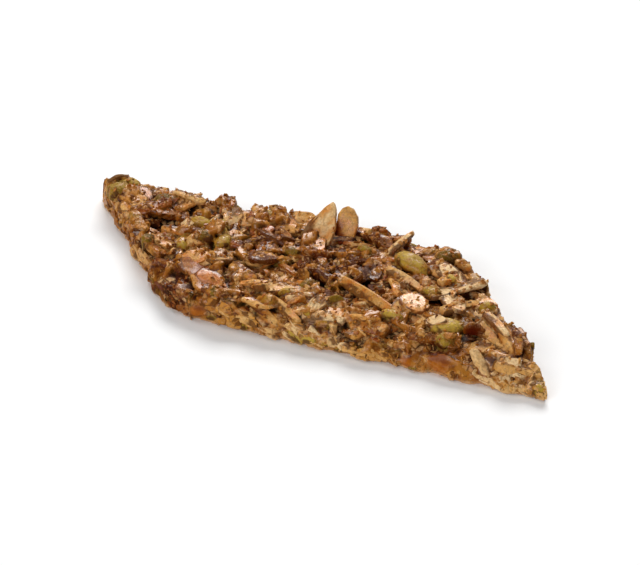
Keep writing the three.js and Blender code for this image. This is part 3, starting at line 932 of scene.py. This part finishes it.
class Finish:
    # a material in the making
    def __init__(self, name):
        self.material = bpy.data.materials.new(name)
        self.material.use_nodes = True
        self.tree = self.material.node_tree
        self.tree.nodes.clear()

    def node(self, kind, settings=None, values=None, output=0):
        made = self.tree.nodes.new("ShaderNode" + kind)
        for name, value in (settings or {}).items():
            if name == "stops":
                while len(made.color_ramp.elements) < len(value):
                    made.color_ramp.elements.new(1)
                for element, (position, colour) in zip(made.color_ramp.elements, value):
                    element.position = position
                    element.color = colour
            else:
                setattr(made, name, value)
        for name, value in (values or {}).items():
            if isinstance(value, Wire):
                self.tree.links.new(value.socket, made.inputs[name])
            else:
                made.inputs[name].default_value = value
        return Wire(self, made.outputs[output]) if made.outputs else None

    def mix(self, share, first, second, blend="MIX"):
        settings = {"data_type": "RGBA", "blend_type": blend, "clamp_factor": True}
        return self.node("Mix", settings, {0: share, 6: first, 7: second}, output=2)

    def ramp(self, value, low, high):
        # 0 below low, 1 above high, smooth between
        settings = {"interpolation_type": "SMOOTHSTEP"}
        values = {"Value": value, "From Min": low, "From Max": high}
        return self.node("MapRange", settings, values)

    def moved(self, seed):
        where = self.node("TexCoord", output="Object")
        return self.node("Mapping", values={"Vector": where, "Location": (seed, 2 * seed, -seed)})

    def spots(self, size, detail=3, seed=0.0, rough=0.55):
        # soft noise with features of a given size in millimetres
        values = {"Vector": self.moved(seed), "Scale": 1000 / size, "Detail": detail, "Roughness": rough}
        return self.node("TexNoise", values=values)

    def cells(self, size, seed=0.0, bend=0.3):
        # broken bits of a given size in millimetres: a chance for each, and how far inside it a point lies
        moved = self.moved(seed)
        values = {"Vector": moved, "Scale": 1500 / size, "Detail": 2}
        bent = self.node("TexNoise", values=values, output="Color")
        strength = (2 * bend * size * mm,) * 3
        values = {0: bent, 1: strength, 2: moved}
        where = self.node("VectorMath", {"operation": "MULTIPLY_ADD"}, values)
        values = {"Vector": where, "Scale": 1000 / size}
        each = self.node("TexVoronoi", values=values, output="Color")
        chance = self.node("SeparateColor", values={0: each})
        inside = self.node("TexVoronoi", {"feature": "DISTANCE_TO_EDGE"}, values)
        return chance, inside

    def tones(self, colours, value):
        # a run of evenly spaced colours
        stops = [(n / (len(colours) - 1), colour) for n, colour in enumerate(colours)]
        return self.node("ValToRGB", {"stops": stops}, {0: value})

    def painted(self, name):
        return self.node("Attribute", {"attribute_name": name}, output="Fac")

    def height(self):
        # millimetres above the table
        where = self.node("TexCoord", output="Object")
        return self.node("SeparateXYZ", values={0: where}, output="Z") * 1000

    def bumps(self, height, deep, under=None):
        values = {"Height": height, "Strength": 1, "Distance": deep * mm}
        if under:
            values["Normal"] = under
        return self.node("Bump", values=values)

    def surface(self, **values):
        shader = self.node("BsdfPrincipled", values={
            name.replace("_", " "): value for name, value in values.items()
        })
        self.node("OutputMaterial", values={"Surface": shader})
        return self.material


def paint(red, green, blue):
    # a colour given from 0 to 255, as the shader wants it
    return tuple((c / 255) ** 2.2 for c in (red, green, blue)) + (1,)


def paints(*colours):
    return [paint(*colour) for colour in colours]


nutTones = {
    "almond": paints((250, 212, 158), (236, 182, 110), (212, 146, 66), (164, 94, 28), (92, 44, 8)),
    "pistachio": paints((204, 168, 70), (176, 140, 50), (138, 106, 34), (92, 66, 20)),
    "almondSkin": paint(104, 58, 18),
    "pistachioSkin": paint(88, 50, 28),
}
glaze = {
    "stain": paint(232, 180, 98), "strength": 0.6, "patches": 3.5,
    # the deep stain darkens low places and the shade zones: caramel pooled there and painted shade
    "deepStainAndShade": paint(150, 68, 10), "sunkenStrength": 0.9, "dust": paint(226, 178, 122),
    "shine": (1, 0.8, 0.56, 1),  # what lies under the shine is seen through amber
    "bareRoughness": 0.55, "wetRoughness": 0.25, "footColour": paint(222, 180, 136), "footHeight": 1.1,
    "footShare": 0.75, "fibreShare": 0.35, "dustShare": 0.4, "peelShare": 0.85,
}


def glazed(finish, colour, seed):
    # caramel that has run over a nut: an amber stain and where it lies a shine; darker low down and in the
    # shade zones, partly caramel pooled there, partly painted shade
    patches = finish.spots(glaze["patches"], 4, seed)
    sunken = finish.painted("sunken")
    dry = finish.painted("cut") * 0.3
    wet = finish.ramp(patches + sunken * 0.3 + finish.painted("gloss") * 0.2 - dry, 0.46, 0.68)
    stained = finish.mix(wet * glaze["strength"], colour, glaze["stain"], "MULTIPLY")
    return finish.mix(sunken * glaze["sunkenStrength"], stained, glaze["deepStainAndShade"], "MULTIPLY"), wet


def footed(finish, colour):
    # the lowest edge, which set against the sheet, is paler and drier
    low = 1 - finish.ramp(finish.height() + finish.spots(2.5, 3, 31) * 0.9, 0.5, glaze["footHeight"] + 0.5)
    return finish.mix(low * glaze["footShare"], colour, glaze["footColour"])


def nutFinish(name, kind, seed, fibre=0.9, skinShare=(0.35, 0.6)):
    # roasted nut under patches of caramel; tones run from the palest nut to the darkest
    finish = Finish(name)
    spots, painted, ramp, mix = finish.spots, finish.painted, finish.ramp, finish.mix
    cut = painted("cut")
    # the painted tone holds the nut's own darkness and the painted shade and light of the zones
    tone = painted("tone") * 0.95 + spots(2.2, 4, seed) * 0.7 - 0.34
    tone = tone * (1 - 0.5 * cut) + 0.14 * cut  # the cut faces are more of one colour
    flesh = finish.tones(nutTones[kind], tone)
    grain = spots(fibre, 5, seed + 1, 0.7)
    flesh = mix(ramp(grain, 0.5, 0.75) * glaze["fibreShare"], flesh, nutTones[kind][-1])
    dust = ramp(spots(0.7, 3, seed + 6, 0.6), 0.5, 0.64)
    flesh = mix(dust * glaze["dustShare"], flesh, glaze["dust"])
    peel = ramp(painted("skin") * 0.8 + spots(1.5, 3, seed + 2) * 0.4, *skinShare)
    flesh = mix(peel * glaze["peelShare"], flesh, nutTones[kind + "Skin"])
    colour, wet = glazed(finish, flesh, seed + 3)
    pits = finish.bumps(grain * (1 - 0.6 * wet) + dust * 0.4, 0.45)
    rough = glaze["bareRoughness"] - (glaze["bareRoughness"] - glaze["wetRoughness"]) * wet
    lit = 1 - 0.85 * painted("sunken")
    return finish.surface(
        Base_Color=footed(finish, colour), Roughness=rough + (1 - lit) * 0.3,
        Normal=finish.bumps(spots(1.8, 3, seed) * (1 - 0.5 * painted("gloss")), 0.5, pits),
        Coat_Weight=(wet * 0.6 + 0.05) * lit, Coat_Roughness=0.2, Coat_Tint=glaze["shine"],
        Specular_Tint=glaze["shine"], Specular_IOR_Level=0.14, Subsurface_Weight=0.05,
        Subsurface_Radius=(1.0, 0.6, 0.3), Subsurface_Scale=0.001,
    )


setCaramel = {
    "pools": paints((170, 110, 40), (138, 82, 16), (90, 44, 6), (52, 21, 3), (28, 10, 1)),
    "bits": paints((226, 180, 128), (198, 144, 86), (172, 116, 56), (124, 74, 28), (136, 110, 44)),
    "bitSize": 1.7, "pressedSize": 6.5, "clear": paint(168, 92, 14), "clearDark": paint(92, 27, 5),
    "bitShare": 0.9, "nutShare": 0.8, "clearShare": 0.85, "pressedShare": 0.85,
}


def caramelFinish():
    # set caramel, amber where it is thin and dark where it has pooled, full of fine bits of nut; darker in
    # hollows, low gaps and shade zones as painted shade too
    finish = Finish("set_caramel")
    spots, painted, ramp, mix = finish.spots, finish.painted, finish.ramp, finish.mix
    swirl = spots(4, 4, 21)
    # pools darken with depth: thicker caramel, and painted shade in the hollows, low gaps and shade zones
    depth = painted("deep") * 0.6 + painted("sunken") * 0.35 + swirl * 0.9 - 0.25
    pools = finish.tones(setCaramel["pools"], depth)
    chance, inside = finish.cells(setCaramel["bitSize"], 4)
    shown = ramp(inside, 0.03, 0.12) * ramp(chance * 0.6 + swirl, 0.85, 0.6)
    colour = mix(shown * setCaramel["bitShare"], pools, finish.tones(setCaramel["bits"], chance))
    # the nuts' tone under the film, with the painted shade and light of the zones
    shade = painted("tone") * 0.8 + spots(2.2, 4, 3) * 0.5 - 0.15
    almond, green = (finish.tones(nutTones[kind], shade) for kind in ("almond", "pistachio"))
    nutTone = mix(painted("green"), almond, green)
    overNut = painted("film") * ramp(spots(1.6, 4, 5), 0.35, 0.6)
    colour = mix(overNut * setCaramel["nutShare"], colour, nutTone)
    clear = painted("clear")
    thick = ramp(finish.height() + swirl * 3, 4.8, 6.2) * 0.8 + painted("deep") * 0.5
    glass = mix(thick, setCaramel["clear"], setCaramel["clearDark"])
    colour = mix(clear * setCaramel["clearShare"], colour, glass)
    under = 1 - ramp(finish.height(), 0.04, 0.16)  # the underside, with nuts that met the sheet
    chance, margin = finish.cells(setCaramel["pressedSize"], 14, 0.2)
    met = ramp(margin, 0.02, 0.08) * ramp(chance + swirl, 0.95, 0.85)
    pressed = mix(met * setCaramel["pressedShare"], pools, finish.tones(setCaramel["bits"], chance))
    shown = shown * (1 - clear) * (1 - under)
    fine = spots(0.8, 4, 9, 0.65)
    lumps = finish.bumps(ramp(inside, 0, 0.25) * shown, 0.5, finish.bumps(fine, 0.16))
    dull = ramp(painted("sunken") + painted("deep") * 0.8 - clear, 0.1, 0.9)
    return finish.surface(
        Base_Color=mix(under, footed(finish, colour), pressed),
        Roughness=ramp(fine, 0.2, 0.9) * 0.3 + 0.26 + dull * 0.34 + clear * 0.15,
        Normal=finish.bumps(spots(2.4, 3, 8), 0.5, lumps),
        Coat_Weight=(ramp(swirl, 0.35, 0.6) * 0.5 + 0.1) * (1 - 0.95 * dull) * (1 - 0.7 * clear),
        Coat_Roughness=0.19, Coat_Tint=glaze["shine"], Specular_Tint=glaze["shine"],
        Specular_IOR_Level=0.18, Subsurface_Weight=0.1, Subsurface_Radius=(1.0, 0.5, 0.2),
        Subsurface_Scale=0.0015,
    )


finishes = {
    "almond": nutFinish("roasted_almond", "almond", 3),
    "pistachio": nutFinish("pistachio_green", "pistachio", 11, 1.1, (0.5, 0.8)),
    "caramel": caramelFinish(),
}
print("materials:", len(finishes))

# the pieces

caramel = {
    "voxel": 0.4, "nutsThinner": -0.07, "smoothing": 2, "filmReach": 0.9, "mostTriangles": 190000,
    "crumbReach": 0.4,  # crumbs lie no further than this off its skin
    "poolRounds": 24, "poolDepth": 0.7,  # how wide and how deep a pool is
    "cutBlend": (1.8, 0.8),  # how the look of the cut faces fades inwards
}


def modify(made, kind, **settings):
    added = made.modifiers.new(kind, kind)
    for name, value in settings.items():
        setattr(added, name, value)


def settle(made):
    # applies the modifiers, so that the piece is a plain mesh
    depsgraph = bpy.context.evaluated_depsgraph_get()
    mesh = bpy.data.meshes.new_from_object(made.evaluated_get(depsgraph))
    made.modifiers.clear()
    made.data = mesh


def dropLoose(made):
    # takes away the specks of skin that hang free of the rest
    bm = bmesh.new()
    bm.from_mesh(made.data)
    start = min(bm.verts, key=lambda vert: vert.co.length)
    joined, ahead = {start}, [start]
    while ahead:
        vert = ahead.pop()
        for edge in vert.link_edges:
            other = edge.other_vert(vert)
            if other not in joined:
                joined.add(other)
                ahead.append(other)
    bmesh.ops.delete(bm, geom=[vert for vert in bm.verts if vert not in joined], context="VERTS")
    bm.to_mesh(made.data)
    bm.free()


def caramelBody():
    # one skin over the slab and all that is set in it
    inIt = nuts + [speck for speck in specks if speck["coated"]]
    points, faces, _ = joinNuts(inIt, caramel["nutsThinner"])
    joined = np.concatenate([core[0], points]), np.concatenate([core[1], faces + len(core[0])])
    made = makeMesh("caramel", *joined)
    modify(made, "REMESH", mode="VOXEL", voxel_size=caramel["voxel"] * mm)
    modify(made, "SMOOTH", factor=0.5, iterations=caramel["smoothing"])
    settle(made)
    modify(made, "DECIMATE", ratio=min(1, caramel["mostTriangles"] / (2 * len(made.data.polygons))))
    settle(made)
    dropLoose(made)
    made.data.name = "caramel"
    return made


def numbersOf(parts, name, each, kind=np.float32):
    found = np.empty(len(parts) * each, kind)
    parts.foreach_get(name, found)
    return found.reshape(-1, each)


def pointsOf(made):
    return numbersOf(made.data.vertices, "co", 3) / mm


def poolDepth(made):
    # how far each point lies below the average of its surroundings, in millimetres
    a, b = numbersOf(made.data.edges, "vertices", 2, np.int32).T
    start = pointsOf(made)
    around = np.bincount(np.r_[a, b], minlength=len(start))[:, None]
    spread = start.copy()
    for _ in range(caramel["poolRounds"]):
        spread = np.stack([
            np.bincount(np.r_[a, b], np.r_[spread[b, n], spread[a, n]], len(start)) for n in range(3)
        ], 1) / around
    return ((spread - start) * numbersOf(made.data.vertices, "normal", 3)).sum(1)


clearFade = 2.5


def clearShare(point):
    # 1 inside the clear places and the lumps of caramel, fading to 0 around them
    lumps = [(s[1], s[2], s[3], min(0.5 * s[4], 4)) for s in standouts if s[0] == "lump"]
    return max(within(clearFade - clearFade * math.dist(point, c[:3]) / c[3]) for c in clearCaramel + lumps)


def treeOf(points):
    tree = KDTree(len(points))
    for index, point in enumerate(points):
        tree.insert(point, index)
    tree.balance()
    return tree


cutTree = treeOf([(x, y, 0) for start, end in zip(cutLine, np.roll(cutLine, -1, 0))
                  for x, y in (start, start * 0.67 + end * 0.33, start * 0.33 + end * 0.67)])


def cutShare(points):
    # 1 on the cut faces, fading to 0 just inside the slab
    start, over = caramel["cutBlend"]
    near = [within(start - cutTree.find((x, y, 0))[2] / over) for x, y, _ in points.tolist()]
    dry = [heaps(points[:, 0], points[:, 1], [place]) for place in dryPlaces]
    return np.max([near, *dry], axis=0)


def placeValues(points):
    cut = cutShare(points)
    return {"cut": cut, "sunken": sunkenShare(points, cut)}


def paintCaramel(made):
    allPoints, _, painted = joinNuts(nuts)
    isGreen = np.concatenate([[nut["kind"].startswith("pistachio")] * len(shapeOf(nut)[0]) for nut in nuts])
    near = treeOf(allPoints)
    places = pointsOf(made) - toOrigin
    _, which, apart = zip(*(near.find(place) for place in places))
    which, apart = np.array(which), np.array(apart)
    # painted shade in the hollows, where the caramel also lies thicker, and the dark red of the dark lump
    dark = heaps(places[:, 0], places[:, 1], [(*hollow[:3], 1) for hollow in slab["hollows"]])
    darkLumps = [s for s in standouts if s[0] == "lump" and s[-1] == 1]
    dark = dark * (places[:, 2] > 2) + sum(
        bell(np.linalg.norm(places - np.array(s[1:4]), axis=1), 0.6 * s[4]) for s in darkLumps
    )
    # deep darkens the caramel in pools and hollows: partly thicker caramel, partly painted shade
    paintPoints(made.data, {
        "film": np.maximum(0, 1 - apart / caramel["filmReach"]),
        "green": isGreen[which],
        "tone": painted["tone"][which],
        "clear": [clearShare(place) for place in places],
        "deep": np.clip(poolDepth(made) / caramel["poolDepth"], -0.3, 1) + np.minimum(1, dark),
        **placeValues(places),
    })


def dress(made, finish, angle=None):
    made.data.materials.clear()
    made.data.materials.append(finish)
    made.data.shade_smooth()
    if angle:
        made.data.set_sharp_from_angle(angle=math.radians(angle))
    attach(made, "root")
    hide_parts("nut_brittle")


pieces = {
    "almond_slices": (("slice", "flake", "brokenSlice"), "almond", 38),
    "almond_slivers": (("sliver", "stick"), "almond", 38),
    "pistachios": (("pistachio", "pistachioBit"), "pistachio", 45),
    "chopped_almonds": (("chip",), "almond", 38),
}


def nutPiece(name, chosen, finish, angle):
    points, faces, painted = joinNuts(chosen)
    made = makeMesh(name, points, faces, {**painted, **placeValues(points)})
    dress(made, finishes[finish], angle)
    print(name + ":", len(chosen), "bits,", len(faces), "triangles")


body = caramelBody()
print("caramel:", len(body.data.polygons), "faces")
for name, (wanted, finish, angle) in pieces.items():
    nutPiece(name, [nut for nut in nuts if nut["kind"] in wanted and not nut.get("coated")], finish, angle)
paintCaramel(body)
dress(body, finishes["caramel"])
skin = BVHTree.FromObject(body, bpy.context.evaluated_depsgraph_get())
bare = [s for s in specks if not s["coated"] and skin.find_nearest(
    Vector((np.array((s["x"], s["y"], s["z"])) + toOrigin) * mm)
)[3] < caramel["crumbReach"] * mm]
nutPiece("crumbs", bare, "almond", 30)

# the stage, the lights and the camera

stage = {"floorSize": 6.0, "floorColour": paint(246, 246, 246), "sky": 0.14}
lamps = {
    "overhead": dict(place=(-0.6, 0.25, 2.1), size=(1.2, 1.2), power=12),
    "behind": dict(place=(-0.5, 2.1, 1.55), size=(1.7, 1.1), power=62),
    "front": dict(place=(-0.75, -2.5, 1.3), size=(2, 1.5), power=44),
}
shot = {
    "azimuth": 17.4, "elevation": 31.4, "distance": 1.228, "roll": 3.36, "lens": 246, "aim": (0, 0, 0.004),
    "clipEnd": 20,
}


def setStage():
    bm = bmesh.new()
    bmesh.ops.create_grid(bm, x_segments=2, y_segments=2, size=stage["floorSize"] / 2)
    mesh = bpy.data.meshes.new("floor")
    bm.to_mesh(mesh)
    bm.free()
    finish = Finish("pale_floor")
    mesh.materials.append(finish.surface(Base_Color=stage["floorColour"], Roughness=0.6))
    floor = putIn("floor", mesh)
    world = bpy.data.worlds.new("studio")
    world.use_nodes = True
    sky = world.node_tree.nodes["Background"].inputs
    sky["Color"].default_value = (1, 1, 1, 1)
    sky["Strength"].default_value = stage["sky"]
    bpy.context.scene.world = world


def aimed(name, data, place, aim, roll=0):
    made = putIn(name, data)
    made.location = place
    look = (Vector(aim) - Vector(place)).to_track_quat("-Z", "Y").to_matrix()
    made.rotation_euler = (look @ Matrix.Rotation(math.radians(roll), 3, "Z")).to_euler()
    return made


def setLamps():
    for name, k in lamps.items():
        lamp = bpy.data.lights.new(name, "AREA")
        lamp.shape = "RECTANGLE"
        lamp.size, lamp.size_y = k["size"]
        lamp.energy = k["power"]
        aimed(name, lamp, k["place"], (0, 0, 0)).visible_camera = False


def setCamera():
    (ahead, aside), (level, up) = heading(shot["azimuth"]), heading(shot["elevation"])
    back = Vector((aside * level, -ahead * level, up))
    lens = bpy.data.cameras.new("camera")
    lens.lens = shot["lens"]
    lens.clip_end = shot["clipEnd"]
    aim = Vector(shot["aim"])
    camera = aimed("camera", lens, aim + shot["distance"] * back, aim, shot["roll"])
    bpy.context.scene.camera = camera


setStage()
setLamps()
setCamera()
bpy.context.scene.view_settings.view_transform = "Standard"
print("stage, lamps and camera set")
